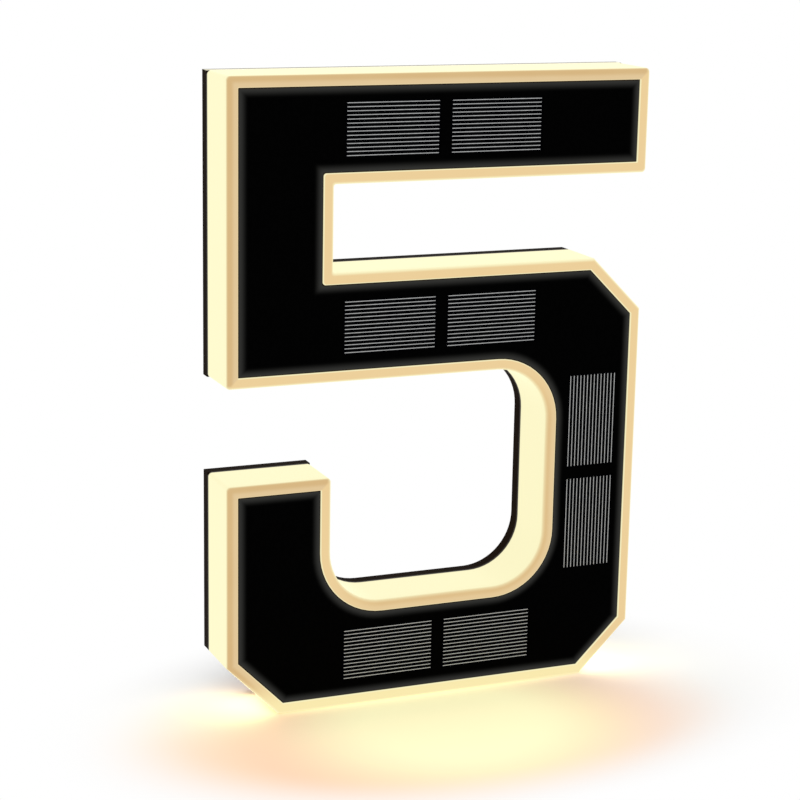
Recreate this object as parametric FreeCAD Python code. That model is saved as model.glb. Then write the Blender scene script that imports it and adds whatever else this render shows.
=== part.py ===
import FreeCAD, Part
import math
import os

# Illuminated house number, digit 5: a milky diffuser shell with a solar panel set in its front,
# closed from behind by a black plate. Millimetres, +Z up, front towards -Y, standing on z = 0.

# ---- driving dimensions: the digit ----
WIDTH = 140.0
HEIGHT = 200.0
STROKE = 34.0            # width of the stem, the hook, the middle bar and the bottom bar
TOP_BAR = 33.0           # height of the top bar
BOWL_SIDE = 32.5         # width of the bowl's right-hand side
CORNER_CUT = 17.0        # leg of each cut-off outer corner
HOLLOW_R = 17.5          # radius in the bowl's hollow
NOTCH_SHARE = 0.2727     # notch height over the height that the three bars leave free
MOUTH_SHARE = 0.4236     # mouth height over the hollow's height
MOULD_R = 1.5            # plain corners of the diffuser's outside; all the others are sharp

# ---- driving dimensions: the stack from front to back ----
PANEL_RECESS = 0.2       # panel face behind the rim
PANEL_T = 1.6
TAPE_T = 0.4
POCKET_T = 1.6           # floor of the panel's pocket
STANDOFF = 1.9           # light board off the pocket floor
BOARD_T = 1.6
CELL_GAP = 0.3           # battery cell off the light board
BATTERY_D = 14.2         # size 14500
BATTERY_L = 50.0
PLATE_GAP = 0.2          # battery cell to plate floor
PLATE_FLOOR = 2.0
PLATE_EDGE = 4.2         # plate thickness at its flange

# ---- diffuser shell ----
RIM = 3.5                # width of the face round the panel
RIM_ROUND = 1.1
WALL = 2.2               # wall at its rear edge
DRAFT_GAIN = 0.4         # extra wall at the front, for mould draft
POST_R = 2.8             # screw post
PILOT_DEPTH = 9.0
LEAD_HOLE_R = 2.6

# ---- back plate ----
SPIGOT_GAP = 0.3         # spigot rib inside the diffuser wall
SPIGOT_T = 1.3
SPIGOT_H = 2.5
GROOVE_AT = 0.6          # seal groove from the plate's edge
GROOVE_W = 1.0
GROOVE_DEPTH = 0.8
EDGE_CHAMFER = 0.2
RIB_T = 1.2
RIB_H = 2.2
PLATE_BOSS_R = 4.5

# ---- screws ----
SCREW_R = 1.45           # thread envelope of the assembly screws
SCREW_L = 12.0
HEAD_R = 2.8
HEAD_H = 2.0
HEAD_SINK = 4.0          # head's seat below the back face
SEAT_WEB = 4.0           # plate boss under the head
BOARD_SCREW_R = 0.9
BOARD_SCREW_L = 3.8
BOARD_SCREW_X = 25.0
STANDOFF_R = 2.7
SCREW_CLEAR = 0.25       # radial, in a clearance hole
PILOT_CLEAR = 0.05       # radial, between thread envelope and pilot wall

SCREW_SIDES = 12         # screws have few faces

# ---- keyhole hangers ----
KEYHOLE_FROM_END = 30.0
KEY_ENTRY_R = 4.25
KEY_SLOT_R = 2.1
KEY_RISE = 6.0           # from the entry's centre up to the slot's end
KEY_DEPTH = 5.2
KEY_WALL = 1.2
KEY_UNDERCUT = 0.25      # head pocket beyond the entry's radius

# ---- solar panel ----
PANEL_GAP = 0.2          # panel edge to rim
CELL_L = 31.0
CELL_W = 17.0
CELL_T = 0.3
CELL_PAIR = 34.4         # distance between the centres of a pair
CELL_SEAT = 0.15         # cell to the edge of its recess
BOTTOM_PAIR_SHIFT = 1.0
FINGERS = 14
FINGER_L = 30.0
FINGER_PITCH = 1.215
FINGER_W = 0.45
FINGER_T = 0.1
TAPE_INSET = 0.8
TAPE_W = 5.0

# ---- light board ----
BOARD_INSET = 5.0
POST_CLEAR = 0.2
LED_L, LED_D, LED_H = 4.0, 1.6, 1.2
LED_PITCH = 15.0
LED_END = 5.0            # free end of each straight edge
LED_EDGE = 0.2           # lamp face behind the board's edge

# ---- switch and button ----
TRAVEL = 2.0
BUTTON_R = 4.0
BUTTON_GAP = 0.3
BUTTON_BEVEL = 0.5
BUTTON_SUNK = 0.8        # button top below the back face
FLANGE_R = 5.2
FLANGE_T = 2.4
BORE_GAP = 0.1
DISH_R = 8.0
DISH_DEPTH = 1.2
LIP_T = 1.5
GUIDE_WALL = 1.3
RING_W = 1.2             # width of the sealing ring
RING_SINK = 0.7          # groove depth
RING_GAP = 0.03
REST_GAP = 0.2           # flange to lip, so the button never binds
HUB_R = 3.0
PLUNGER_W = 3.0
PLUNGER_SOCKET = 1.8
SOCKET_GAP = 0.05
SWITCH_W = 8.5
OVERTRAVEL = 0.3
PLUNGER_IN = 3.0         # plunger inside the switch at rest

# ---- battery, clips and controller ----
NUB_R = 2.75
NUB_H = 1.0
SHOULDER = 0.6           # rounded shoulder of the cell
CLIP_W, CLIP_T, CLIP_H, CLIP_FOOT = 12.0, 0.5, 12.0, 3.0
DIMPLE_H, DIMPLE_R = 0.8, 2.6
LEAF_H, LEAF_SPAN = 2.0, 9.0
CRADLE_IN, CRADLE_OUT, CRADLE_H, CRADLE_T = 4.0, 7.1, 5.0, 4.0
CRADLE_GAP = 0.1
CHIP_L, CHIP_W, CHIP_H, CHIP_LEADS, CHIP_PITCH = 4.9, 3.9, 1.4, 4, 1.27
CHIP_FOOT, LEAD_W, LEAD_FOOT = 1.2, 0.4, 0.2
DRUM_R, DRUM_H, DRUM_T = 3.0, 4.0, 0.8
CAN_R, CAN_H = 2.5, 7.0
RESISTORS, RESISTOR_PITCH, RESISTOR_W, RESISTOR_L, RESISTOR_H = 5, 2.4, 1.25, 2.0, 0.5
PARTS_OFF = 5.0          # rows of parts above and below the middle bar's centre line
RIBBON_T, RIBBON_W, LEAD_RUN, LEAD_RISE = 1.1, 3.2, 8.0, 2.5
SOCKET_L, SOCKET_W, SOCKET_H, SOCKET_WALL = 4.5, 6.5, 5.0, 0.7
PLUG_IN, PLUG_H = 3.5, 5.0

# ---- planes from front to back ----
DEPTH = (PANEL_RECESS + PANEL_T + TAPE_T + POCKET_T + STANDOFF + BOARD_T
         + CELL_GAP + BATTERY_D + PLATE_GAP + PLATE_FLOOR)
FRONT = -DEPTH / 2
BACK = DEPTH / 2
PANEL_FACE = FRONT + PANEL_RECESS
PANEL_BACK = PANEL_FACE + PANEL_T
POCKET_FACE = PANEL_BACK + TAPE_T
POCKET_BACK = POCKET_FACE + POCKET_T
BOARD_FACE = POCKET_BACK + STANDOFF
BOARD_BACK = BOARD_FACE + BOARD_T
FLOOR_IN = BACK - PLATE_FLOOR
SEAT = BACK - PLATE_EDGE
HEAD_SEAT = BACK - HEAD_SINK
MEET = HEAD_SEAT - SEAT_WEB   # where a plate boss meets a diffuser post

# ---- places on the digit ----
HALF_W = WIDTH / 2
STEM_IN = -HALF_W + STROKE
BOWL_IN = HALF_W - BOWL_SIDE
FREE = HEIGHT - TOP_BAR - 2 * STROKE
NOTCH_H = FREE * NOTCH_SHARE
HOLLOW_H = FREE - NOTCH_H
MIDDLE_LOW = STROKE + HOLLOW_H
MIDDLE_TOP = MIDDLE_LOW + STROKE
HOOK_TOP = STROKE + HOLLOW_H * (1 - MOUTH_SHARE)
STEM_X = -HALF_W + STROKE / 2
BOWL_X = HALF_W - BOWL_SIDE / 2
TOP_Z = HEIGHT - TOP_BAR / 2
MIDDLE_Z = MIDDLE_LOW + STROKE / 2
BOTTOM_Z = STROKE / 2
SIDE_Z = (MIDDLE_Z + BOTTOM_Z) / 2
SPIGOT_OUT = WALL + SPIGOT_GAP
SPIGOT_IN = SPIGOT_OUT + SPIGOT_T
SCREW_AT = [(STEM_X, TOP_Z), (BOWL_X, TOP_Z), (0, MIDDLE_Z), (BOWL_X, MIDDLE_Z),
            (BOWL_X, BOTTOM_Z), (STEM_X, HOOK_TOP - STROKE / 2)]
BOARD_SCREW_AT = [(BOARD_SCREW_X, TOP_Z), (BOARD_SCREW_X, MIDDLE_Z), (-BOARD_SCREW_X, BOTTOM_Z),
                  (BOWL_X, SIDE_Z - BOARD_SCREW_X)]
BATTERY_Z = (MIDDLE_LOW + SPIGOT_IN + TOP_Z - PLATE_BOSS_R) / 2
BATTERY_Y = BOARD_BACK + CELL_GAP + BATTERY_D / 2
LEAD_X, LEAD_Z = -16.0, MIDDLE_Z - PARTS_OFF
CHIP_AT = (-24.0, MIDDLE_Z + PARTS_OFF)
DRUM_AT = (-15.0, MIDDLE_Z + PARTS_OFF)
CAN_AT = [(-30.0, MIDDLE_Z + PARTS_OFF), (-30.0, MIDDLE_Z - PARTS_OFF)]
RESISTOR_AT = (-28.5, MIDDLE_Z)

# each cell: name, centre x, centre z, whether it stands along Z
CELL_AT = []
for row, cx, cz in (("top", 0.0, TOP_Z), ("middle", 0.0, MIDDLE_Z),
                    ("bottom", BOTTOM_PAIR_SHIFT, BOTTOM_Z)):
    CELL_AT.append((row + "_left", cx - CELL_PAIR / 2, cz, False))
    CELL_AT.append((row + "_right", cx + CELL_PAIR / 2, cz, False))
CELL_AT.append(("side_upper", BOWL_X, SIDE_Z + CELL_PAIR / 2, True))
CELL_AT.append(("side_lower", BOWL_X, SIDE_Z - CELL_PAIR / 2, True))

V = FreeCAD.Vector
ALONG_Y = V(0, 1, 0)
PLAIN, CUT, HOLLOW = "plain", "cut", "hollow"


# ---- the outline that every ring, wall and board follows ----
def digit_corners():
    """Corners of the digit clockwise from the top left, each with how it is finished."""
    return [
        (-HALF_W, HEIGHT, PLAIN), (HALF_W, HEIGHT, PLAIN), (HALF_W, HEIGHT - TOP_BAR, PLAIN),
        (STEM_IN, HEIGHT - TOP_BAR, PLAIN), (STEM_IN, MIDDLE_TOP, PLAIN),
        (HALF_W, MIDDLE_TOP, CUT), (HALF_W, 0, CUT), (-HALF_W, 0, CUT),
        (-HALF_W, HOOK_TOP, PLAIN), (STEM_IN, HOOK_TOP, PLAIN),
        (STEM_IN, STROKE, HOLLOW), (BOWL_IN, STROKE, HOLLOW), (BOWL_IN, MIDDLE_LOW, HOLLOW),
        (-HALF_W, MIDDLE_LOW, PLAIN)]


def outline_points(inset, plain_r):
    """Start, middle and end of each corner's finish, with the outline moved inwards by inset.

    A cut corner keeps its 45 degrees and a hollow corner its centre, so walls stay even. A plain
    corner has the radius plain_r, and is sharp where that is 0."""
    corners = digit_corners()
    points = []
    for i, (x, z, kind) in enumerate(corners):
        last, after = corners[i - 1], corners[(i + 1) % len(corners)]
        come = V(x - last[0], 0, z - last[1]).normalize()
        go = V(after[0] - x, 0, after[1] - z).normalize()
        corner = V(x, 0, z) + V(come.z + go.z, 0, -come.x - go.x) * inset
        size = {PLAIN: plain_r, CUT: CORNER_CUT - inset * (2 - math.sqrt(2)),
                HOLLOW: HOLLOW_R + inset}[kind]
        start, end = corner - come * size, corner + go * size
        middle = None
        if kind != CUT and size > 0:
            middle = start + go * size + (come - go) * (size / math.sqrt(2))
        points.append((start, middle, end))
    return points


def outline(inset, y, plain_r=0):
    """Closed wire of the digit in the plane at y."""
    points = outline_points(inset, plain_r)
    lift = V(0, y, 0)
    edges = []
    for i, (start, middle, end) in enumerate(points):
        edges.append(Part.LineSegment(points[i - 1][2] + lift, start + lift).toShape())
        if middle is not None:
            edges.append(Part.Arc(start + lift, middle + lift, end + lift).toShape())
        elif (end - start).Length > 0:
            edges.append(Part.LineSegment(start + lift, end + lift).toShape())
    return Part.Wire(edges)


def slab(inset, y0, y1, plain_r=0):
    return Part.Face(outline(inset, y0, plain_r)).extrude(V(0, y1 - y0, 0))


def ring(outer, inner, y0, y1):
    return slab(outer, y0, y1).cut(slab(inner, y0, y1))


def tapered_slab(inset0, y0, inset1, y1):
    return Part.makeLoft([outline(inset0, y0), outline(inset1, y1)], True, True)


# ---- plain solids ----
def disc(x, z, r, y0, y1):
    return Part.makeCylinder(r, y1 - y0, V(x, y0, z), ALONG_Y)


def block(x, y0, y1, z, wide, tall):
    """Box centred on x and z, from y0 to y1."""
    return Part.makeBox(wide, y1 - y0, tall, V(x - wide / 2, y0, z - tall / 2))


def stadium(x, z0, z1, r, y0, y1):
    """Upright slot shape from the centre at z0 to the centre at z1."""
    ends = disc(x, z0, r, y0, y1).fuse(disc(x, z1, r, y0, y1))
    return ends.fuse(block(x, y0, y1, (z0 + z1) / 2, 2 * r, z1 - z0))


def turned(x, z, profile):
    """Solid of revolution about the line through x and z along Y, from (radius, y) pairs."""
    points = [V(x + r, y, z) for r, y in profile]
    face = Part.Face(Part.makePolygon(points + points[:1]))
    return face.revolve(V(x, 0, z), ALONG_Y, 360)


def faceted(x, z, r, y0, y1, x_top):
    """Many-sided stub along Y that narrows by x_top at its rear end."""
    rings = []
    for y, size in ((y0, r), (y1, r - x_top)):
        turns = [2 * math.pi * i / SCREW_SIDES for i in range(SCREW_SIDES + 1)]
        rings.append(Part.makePolygon([V(x + size * math.cos(t), y, z + size * math.sin(t))
                                       for t in turns]))
    return Part.makeLoft(rings, True, True)


def joined(shapes):
    body = shapes[0]
    if len(shapes) > 1:
        body = body.fuse(shapes[1:])
    return body.removeSplitter()


def edges_at(shape, y):
    return [e for e in shape.Edges if all(abs(v.Y - y) < 1e-6 for v in e.Vertexes)]


# ---- diffuser shell: one moulding with the panel's pocket in front and posts behind ----
def diffuser_shell():
    body = slab(0, FRONT, SEAT, MOULD_R)
    body = body.makeFillet(RIM_ROUND, edges_at(body, FRONT))
    body = body.cut(slab(RIM, FRONT, POCKET_FACE))
    body = body.cut(tapered_slab(WALL + DRAFT_GAIN, POCKET_BACK, WALL, SEAT))
    body = joined([body] + [disc(x, z, POST_R, POCKET_BACK, MEET) for x, z in SCREW_AT]
                  + [disc(x, z, STANDOFF_R, POCKET_BACK, BOARD_FACE) for x, z in BOARD_SCREW_AT])
    pilot_r = SCREW_R + PILOT_CLEAR
    holes = [disc(x, z, pilot_r, MEET - PILOT_DEPTH, MEET) for x, z in SCREW_AT]
    small_r = BOARD_SCREW_R + PILOT_CLEAR
    holes += [disc(x, z, small_r, BOARD_BACK - BOARD_SCREW_L - PILOT_CLEAR, BOARD_FACE)
              for x, z in BOARD_SCREW_AT]
    holes.append(disc(LEAD_X, LEAD_Z, LEAD_HOLE_R, POCKET_FACE, POCKET_BACK))
    return body.cut(holes)


# ---- back plate: flange, spigot, seal groove, bosses, keyhole pockets and the button's guide ----
def keyhole_x():
    return [-HALF_W + KEYHOLE_FROM_END, HALF_W - KEYHOLE_FROM_END]


def keyhole_z():
    return TOP_Z - KEY_RISE / 2


def plate_ribs():
    """Stiffening ribs on the bars' centre lines, trimmed to the plate's inside."""
    y0 = FLOOR_IN - RIB_H
    lines = [block(0, y0, FLOOR_IN, z, WIDTH, RIB_T) for z in (TOP_Z, MIDDLE_Z, BOTTOM_Z)]
    lines += [block(x, y0, FLOOR_IN, HEIGHT / 2, RIB_T, HEIGHT) for x in (STEM_X, BOWL_X)]
    lines = joined(lines).common(slab(SPIGOT_IN - SPIGOT_T / 2, y0, FLOOR_IN))
    room = BATTERY_D + 2 * RIB_T
    return lines.cut(block(STEM_X, y0, FLOOR_IN, (MIDDLE_LOW + TOP_Z) / 2, room, TOP_Z - MIDDLE_LOW))


def back_plate():
    body = slab(0, SEAT, BACK)
    body = body.makeChamfer(EDGE_CHAMFER, edges_at(body, BACK))
    body = body.cut([slab(SPIGOT_IN, SEAT, FLOOR_IN),
                     ring(GROOVE_AT, GROOVE_AT + GROOVE_W, SEAT, SEAT + GROOVE_DEPTH)])
    added = [ring(SPIGOT_OUT, SPIGOT_IN, SEAT - SPIGOT_H, SEAT), plate_ribs()]
    added += [disc(x, z, PLATE_BOSS_R, MEET, FLOOR_IN) for x, z in SCREW_AT]
    entry, top = keyhole_z(), keyhole_z() + KEY_RISE
    pocket_r = KEY_ENTRY_R + KEY_UNDERCUT
    pocket_end = BACK - KEY_DEPTH
    for x in keyhole_x():
        added.append(stadium(x, entry, top, pocket_r + KEY_WALL, pocket_end - KEY_WALL, FLOOR_IN))
    bore_r = FLANGE_R + BORE_GAP
    added.append(disc(BOWL_X, SIDE_Z, bore_r + GUIDE_WALL, guide_end(), FLOOR_IN))
    body = joined([body] + added)
    holes = []
    for x, z in SCREW_AT:
        holes.append(disc(x, z, SCREW_R + SCREW_CLEAR, MEET, HEAD_SEAT))
        holes.append(disc(x, z, HEAD_R + SCREW_CLEAR, HEAD_SEAT, BACK))
    for x in keyhole_x():
        holes.append(stadium(x, entry, top, pocket_r, pocket_end, FLOOR_IN))
        holes.append(disc(x, entry, KEY_ENTRY_R, FLOOR_IN, BACK))
        holes.append(stadium(x, entry, top, KEY_SLOT_R, FLOOR_IN, BACK))
    dish_floor = BACK - DISH_DEPTH
    holes.append(turned(BOWL_X, SIDE_Z, [(0, dish_floor), (DISH_R - DISH_DEPTH, dish_floor),
                                         (DISH_R, BACK), (0, BACK)]))
    holes.append(disc(BOWL_X, SIDE_Z, BUTTON_R + BUTTON_GAP, dish_floor - LIP_T, dish_floor))
    holes.append(disc(BOWL_X, SIDE_Z, bore_r, guide_end(), dish_floor - LIP_T))
    for hole in holes:
        body = body.cut(hole)
    return body.removeSplitter()


def rear_seal():
    return ring(GROOVE_AT, GROOVE_AT + GROOVE_W, SEAT, SEAT + GROOVE_DEPTH)


# ---- solar panel: black laminate with a recess for each cell ----
def cell_block(cell, long, wide, y0, y1):
    x, z, upright = cell[1:]
    if upright:
        return block(x, y0, y1, z, wide, long)
    return block(x, y0, y1, z, long, wide)


def cell_face():
    return PANEL_FACE + FINGER_T


def solar_panel():
    body = slab(RIM + PANEL_GAP, PANEL_FACE, PANEL_BACK)
    room = 2 * CELL_SEAT
    recesses = [cell_block(c, CELL_L + room, CELL_W + room, PANEL_FACE, cell_face() + CELL_T)
                for c in CELL_AT]
    return body.cut(recesses)


def solar_cell(cell):
    return cell_block(cell, CELL_L, CELL_W, cell_face(), cell_face() + CELL_T)


def cell_fingers():
    bars = []
    for _, x, z, upright in CELL_AT:
        for i in range(FINGERS):
            off = (i - (FINGERS - 1) / 2) * FINGER_PITCH
            if upright:
                bars.append(block(x + off, PANEL_FACE, cell_face(), z, FINGER_W, FINGER_L))
            else:
                bars.append(block(x, PANEL_FACE, cell_face(), z + off, FINGER_L, FINGER_W))
    return Part.makeCompound(bars)


def panel_tape():
    inset = RIM + TAPE_INSET
    return ring(inset, inset + TAPE_W, PANEL_BACK, POCKET_FACE)


# ---- light board, its lamps and its charge controller ----
def light_board():
    body = slab(BOARD_INSET, BOARD_FACE, BOARD_BACK)
    holes = [disc(x, z, POST_R + POST_CLEAR, BOARD_FACE, BOARD_BACK) for x, z in SCREW_AT]
    holes += [disc(x, z, BOARD_SCREW_R + SCREW_CLEAR, BOARD_FACE, BOARD_BACK)
              for x, z in BOARD_SCREW_AT]
    holes.append(disc(LEAD_X, LEAD_Z, LEAD_HOLE_R, BOARD_FACE, BOARD_BACK))
    return body.cut(holes)


def side_lamps():
    """Side-firing lamps, evenly spaced along each straight edge of the light board."""
    points = outline_points(BOARD_INSET, 0)
    runs = [(points[i - 1][2], points[i][0]) for i in range(len(points))]
    runs += [(start, end) for start, middle, end in points if middle is None]
    lamps = []
    for start, end in runs:
        run = end - start
        free = run.Length - LED_L - 2 * LED_END
        if free < 0:
            continue
        steps = int(free / LED_PITCH)
        way = V(run).normalize()
        turn = -math.degrees(math.atan2(way.z, way.x))
        for i in range(steps + 1):
            at = run.Length / 2 + (i - steps / 2) * (free / max(steps, 1))
            lamp = Part.makeBox(LED_L, LED_H, LED_D, V(-LED_L / 2, BOARD_BACK, -LED_EDGE - LED_D))
            lamp.rotate(V(0, 0, 0), ALONG_Y, turn)
            lamp.translate(start + way * at)
            lamps.append(lamp)
    return Part.makeCompound(lamps)


# ---- battery cell along the stem, between two clips soldered to the board ----
def battery_ends():
    return BATTERY_Z - BATTERY_L / 2, BATTERY_Z + BATTERY_L / 2


def battery_cell():
    """Sleeved steel can with rounded shoulders, a rolled neck and the positive button on top."""
    r, low = BATTERY_D / 2, battery_ends()[0]
    top = low + BATTERY_L - NUB_H
    profile = [(0, low), (r - SHOULDER, low), (r, low + SHOULDER), (r, top - SHOULDER),
               (r - SHOULDER, top), (NUB_R + SHOULDER, top), (NUB_R + SHOULDER, top - SHOULDER),
               (NUB_R, top - SHOULDER), (NUB_R, top + NUB_H), (0, top + NUB_H)]
    points = [V(STEM_X + x, BATTERY_Y, z) for x, z in profile]
    face = Part.Face(Part.makePolygon(points + points[:1]))
    return face.revolve(V(STEM_X, BATTERY_Y, 0), V(0, 0, 1), 360)


def clip(end_z, side, reach):
    """Bent contact of sheet metal: a foot on the board and a blade across the cell's end.

    side is +1 above the cell and -1 below it; reach is the gap that the contact bridges."""
    face_z = end_z + side * reach
    blade = block(STEM_X, BOARD_BACK, BOARD_BACK + CLIP_H, face_z + side * CLIP_T / 2,
                  CLIP_W, CLIP_T)
    foot = block(STEM_X, BOARD_BACK, BOARD_BACK + CLIP_T, face_z + side * CLIP_FOOT / 2,
                 CLIP_W, CLIP_FOOT)
    return [blade, foot], face_z


def battery_clip_plus():
    """Blade with a pressed dimple that meets the positive button."""
    parts, face_z = clip(battery_ends()[1], 1, DIMPLE_H)
    dimple = Part.makeCone(DIMPLE_R, NUB_R / 2, DIMPLE_H, V(STEM_X, BATTERY_Y, face_z), V(0, 0, -1))
    return joined(parts + [dimple])


def battery_clip_minus():
    """Blade with a bowed leaf spring that pushes the cell upwards."""
    parts, face_z = clip(battery_ends()[0], -1, LEAF_H)
    outer = leaf_arc(face_z, LEAF_H)
    inner = leaf_arc(face_z, LEAF_H - CLIP_T)
    ends = [Part.makeLine(outer.Vertexes[0].Point, inner.Vertexes[0].Point),
            Part.makeLine(outer.Vertexes[1].Point, inner.Vertexes[1].Point)]
    face = Part.Face(Part.Wire(Part.sortEdges([outer, inner] + ends)[0]))
    leaf = face.extrude(V(CLIP_W / 2, 0, 0))
    return joined(parts + [leaf])


def leaf_arc(base_z, rise):
    """Bow in the plane at the clip's left quarter, from the blade up to rise and back."""
    x, half = STEM_X - CLIP_W / 4, LEAF_SPAN / 2
    ends = half - (LEAF_H - rise)
    return Part.Arc(V(x, BATTERY_Y - ends, base_z), V(x, BATTERY_Y, base_z + rise),
                    V(x, BATTERY_Y + ends, base_z)).toShape()


def battery_cradle():
    """Four cheeks on the board that keep the cell from rolling."""
    saddle_r = BATTERY_D / 2 + CRADLE_GAP
    cheeks = []
    for z in (BATTERY_Z - BATTERY_L / 4, BATTERY_Z + BATTERY_L / 4):
        bed = disc_z(STEM_X, BATTERY_Y, saddle_r, z - CRADLE_T, z + CRADLE_T)
        for side in (-1, 1):
            x = STEM_X + side * (CRADLE_IN + CRADLE_OUT) / 2
            cheek = block(x, BOARD_BACK, BOARD_BACK + CRADLE_H, z, CRADLE_OUT - CRADLE_IN, CRADLE_T)
            cheeks.append(cheek.cut(bed))
    return Part.makeCompound(cheeks)


def disc_z(x, y, r, z0, z1):
    return Part.makeCylinder(r, z1 - z0, V(x, y, z0))


# ---- charge controller on the middle bar ----
def controller_chip():
    """Eight-lead chip with gull-wing leads."""
    x, z = CHIP_AT
    body = block(x, BOARD_BACK + LEAD_FOOT, BOARD_BACK + LEAD_FOOT + CHIP_H, z, CHIP_L, CHIP_W)
    body = body.makeChamfer(CHIP_H / 6, edges_at(body, BOARD_BACK + LEAD_FOOT + CHIP_H))
    leads = []
    for i in range(CHIP_LEADS):
        off = (i - (CHIP_LEADS - 1) / 2) * CHIP_PITCH
        for side in (-1, 1):
            edge = z + side * CHIP_W / 2
            knee = block(x + off, BOARD_BACK, BOARD_BACK + CHIP_H / 2, edge + side * CHIP_FOOT / 4,
                         LEAD_W, CHIP_FOOT / 2)
            foot = block(x + off, BOARD_BACK, BOARD_BACK + LEAD_FOOT, edge + side * CHIP_FOOT / 2,
                         LEAD_W, CHIP_FOOT)
            leads += [knee, foot]
    return joined([body] + leads)


def boost_inductor():
    """Drum core: two flanges with the winding between them."""
    y0, y1 = BOARD_BACK, BOARD_BACK + DRUM_H
    waist = [(0, y0), (DRUM_R, y0), (DRUM_R, y0 + DRUM_T), (DRUM_R - DRUM_T, y0 + DRUM_T),
             (DRUM_R - DRUM_T, y1 - DRUM_T), (DRUM_R, y1 - DRUM_T), (DRUM_R, y1), (0, y1)]
    return turned(DRUM_AT[0], DRUM_AT[1], waist)


def capacitors():
    """Two upright cans."""
    y1 = BOARD_BACK + CAN_H
    return Part.makeCompound([disc(x, z, CAN_R, BOARD_BACK, y1) for x, z in CAN_AT])


def resistors():
    chips = []
    for i in range(RESISTORS):
        x = RESISTOR_AT[0] + i * RESISTOR_PITCH
        chips.append(block(x, BOARD_BACK, BOARD_BACK + RESISTOR_H, RESISTOR_AT[1],
                           RESISTOR_W, RESISTOR_L))
    return Part.makeCompound(chips)


# ---- leads from the panel, through the pocket floor and the board, to their socket ----
def socket_x():
    return LEAD_X + LEAD_RUN


def lead_socket():
    """Two-way header with its mouth towards the back plate."""
    x, y1 = socket_x(), BOARD_BACK + SOCKET_H
    body = block(x, BOARD_BACK, y1, LEAD_Z, SOCKET_L, SOCKET_W)
    mouth = block(x, y1 - PLUG_IN, y1, LEAD_Z, SOCKET_L - 2 * SOCKET_WALL, SOCKET_W - 2 * SOCKET_WALL)
    return body.cut(mouth)


def lead_plug():
    x, y0 = socket_x(), BOARD_BACK + SOCKET_H - PLUG_IN
    shrink = 2 * (SOCKET_WALL + SOCKET_GAP)
    plug = block(x, y0, y0 + PLUG_H, LEAD_Z, SOCKET_L - shrink, SOCKET_W - shrink)
    end = y0 + PLUG_H
    return plug.cut(block(x, end - RIBBON_T, end, LEAD_Z, RIBBON_T, RIBBON_W))


def solar_leads():
    """Flat two-core ribbon: straight back from the panel, over in a round bend, into the plug."""
    r, mid = LEAD_RUN / 2, LEAD_X + LEAD_RUN / 2
    low = LEAD_Z - RIBBON_W / 2
    y_plug = BOARD_BACK + SOCKET_H - PLUG_IN + PLUG_H - RIBBON_T
    bend = [Part.makeCylinder(r + half, RIBBON_W, V(mid, LEAD_RISE, low), V(0, 0, 1), 180)
            for half in (RIBBON_T / 2, -RIBBON_T / 2)]
    return joined([bend[0].cut(bend[1]),
                   block(LEAD_X, PANEL_BACK, LEAD_RISE, LEAD_Z, RIBBON_T, RIBBON_W),
                   block(socket_x(), y_plug, LEAD_RISE, LEAD_Z, RIBBON_T, RIBBON_W)])


# ---- on/off switch on the board, and the button that reaches the back ----
def guide_end():
    """Inner end of the guide tube: the flange stays inside it when pressed."""
    return lip_inside() - REST_GAP - FLANGE_T - TRAVEL - BORE_GAP


def lip_inside():
    return BACK - DISH_DEPTH - LIP_T


def flange_y():
    top = lip_inside() - REST_GAP
    return top - FLANGE_T, top


def hub_low():
    return flange_y()[0] - TRAVEL


def power_button():
    """Cap, flange with the sealing ring's groove, and a hub with a square socket."""
    low, top = flange_y()
    cap = BACK - BUTTON_SUNK
    g0, g1 = (low + top - RING_W) / 2, (low + top + RING_W) / 2
    groove_r = FLANGE_R - RING_SINK
    body = turned(BOWL_X, SIDE_Z, [
        (0, hub_low()), (HUB_R, hub_low()), (HUB_R, low), (FLANGE_R, low), (FLANGE_R, g0),
        (groove_r, g0), (groove_r, g1), (FLANGE_R, g1), (FLANGE_R, top), (BUTTON_R, top),
        (BUTTON_R, cap - BUTTON_BEVEL), (BUTTON_R - BUTTON_BEVEL, cap), (0, cap)])
    wide = PLUNGER_W + 2 * SOCKET_GAP
    return body.cut(block(BOWL_X, hub_low(), hub_low() + PLUNGER_SOCKET, SIDE_Z, wide, wide))


def button_ring():
    """Sealing ring in the button's groove, squeezed almost to the bore."""
    low, top = flange_y()
    mid, half = (low + top) / 2, RING_W / 2
    r0, r1 = FLANGE_R - RING_SINK, FLANGE_R + BORE_GAP - RING_GAP
    return turned(BOWL_X, SIDE_Z, [(r0, mid - half), (r1, mid - half), (r1, mid + half),
                                   (r0, mid + half)])


def switch_top():
    return hub_low() - TRAVEL - OVERTRAVEL


def switch_plunger():
    low = switch_top() - PLUNGER_IN
    return block(BOWL_X, low, hub_low() + PLUNGER_SOCKET, SIDE_Z, PLUNGER_W, PLUNGER_W)


def switch_body():
    """Square housing with a well for the plunger and a foot at each corner."""
    top = switch_top()
    body = block(BOWL_X, BOARD_BACK + LEAD_FOOT, top, SIDE_Z, SWITCH_W, SWITCH_W)
    body = body.makeChamfer(LEAD_W, edges_at(body, top))
    well = PLUNGER_W + 4 * SOCKET_GAP
    depth = PLUNGER_IN + TRAVEL + OVERTRAVEL
    body = body.cut(block(BOWL_X, top - depth, top, SIDE_Z, well, well))
    feet = [block(BOWL_X + sx * SWITCH_W / 3, BOARD_BACK, BOARD_BACK + LEAD_FOOT,
                  SIDE_Z + sz * SWITCH_W / 2, 2 * LEAD_W, 2 * LEAD_W + LEAD_FOOT)
            for sx in (-1, 1) for sz in (-1, 1)]
    return joined([body] + feet)


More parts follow.
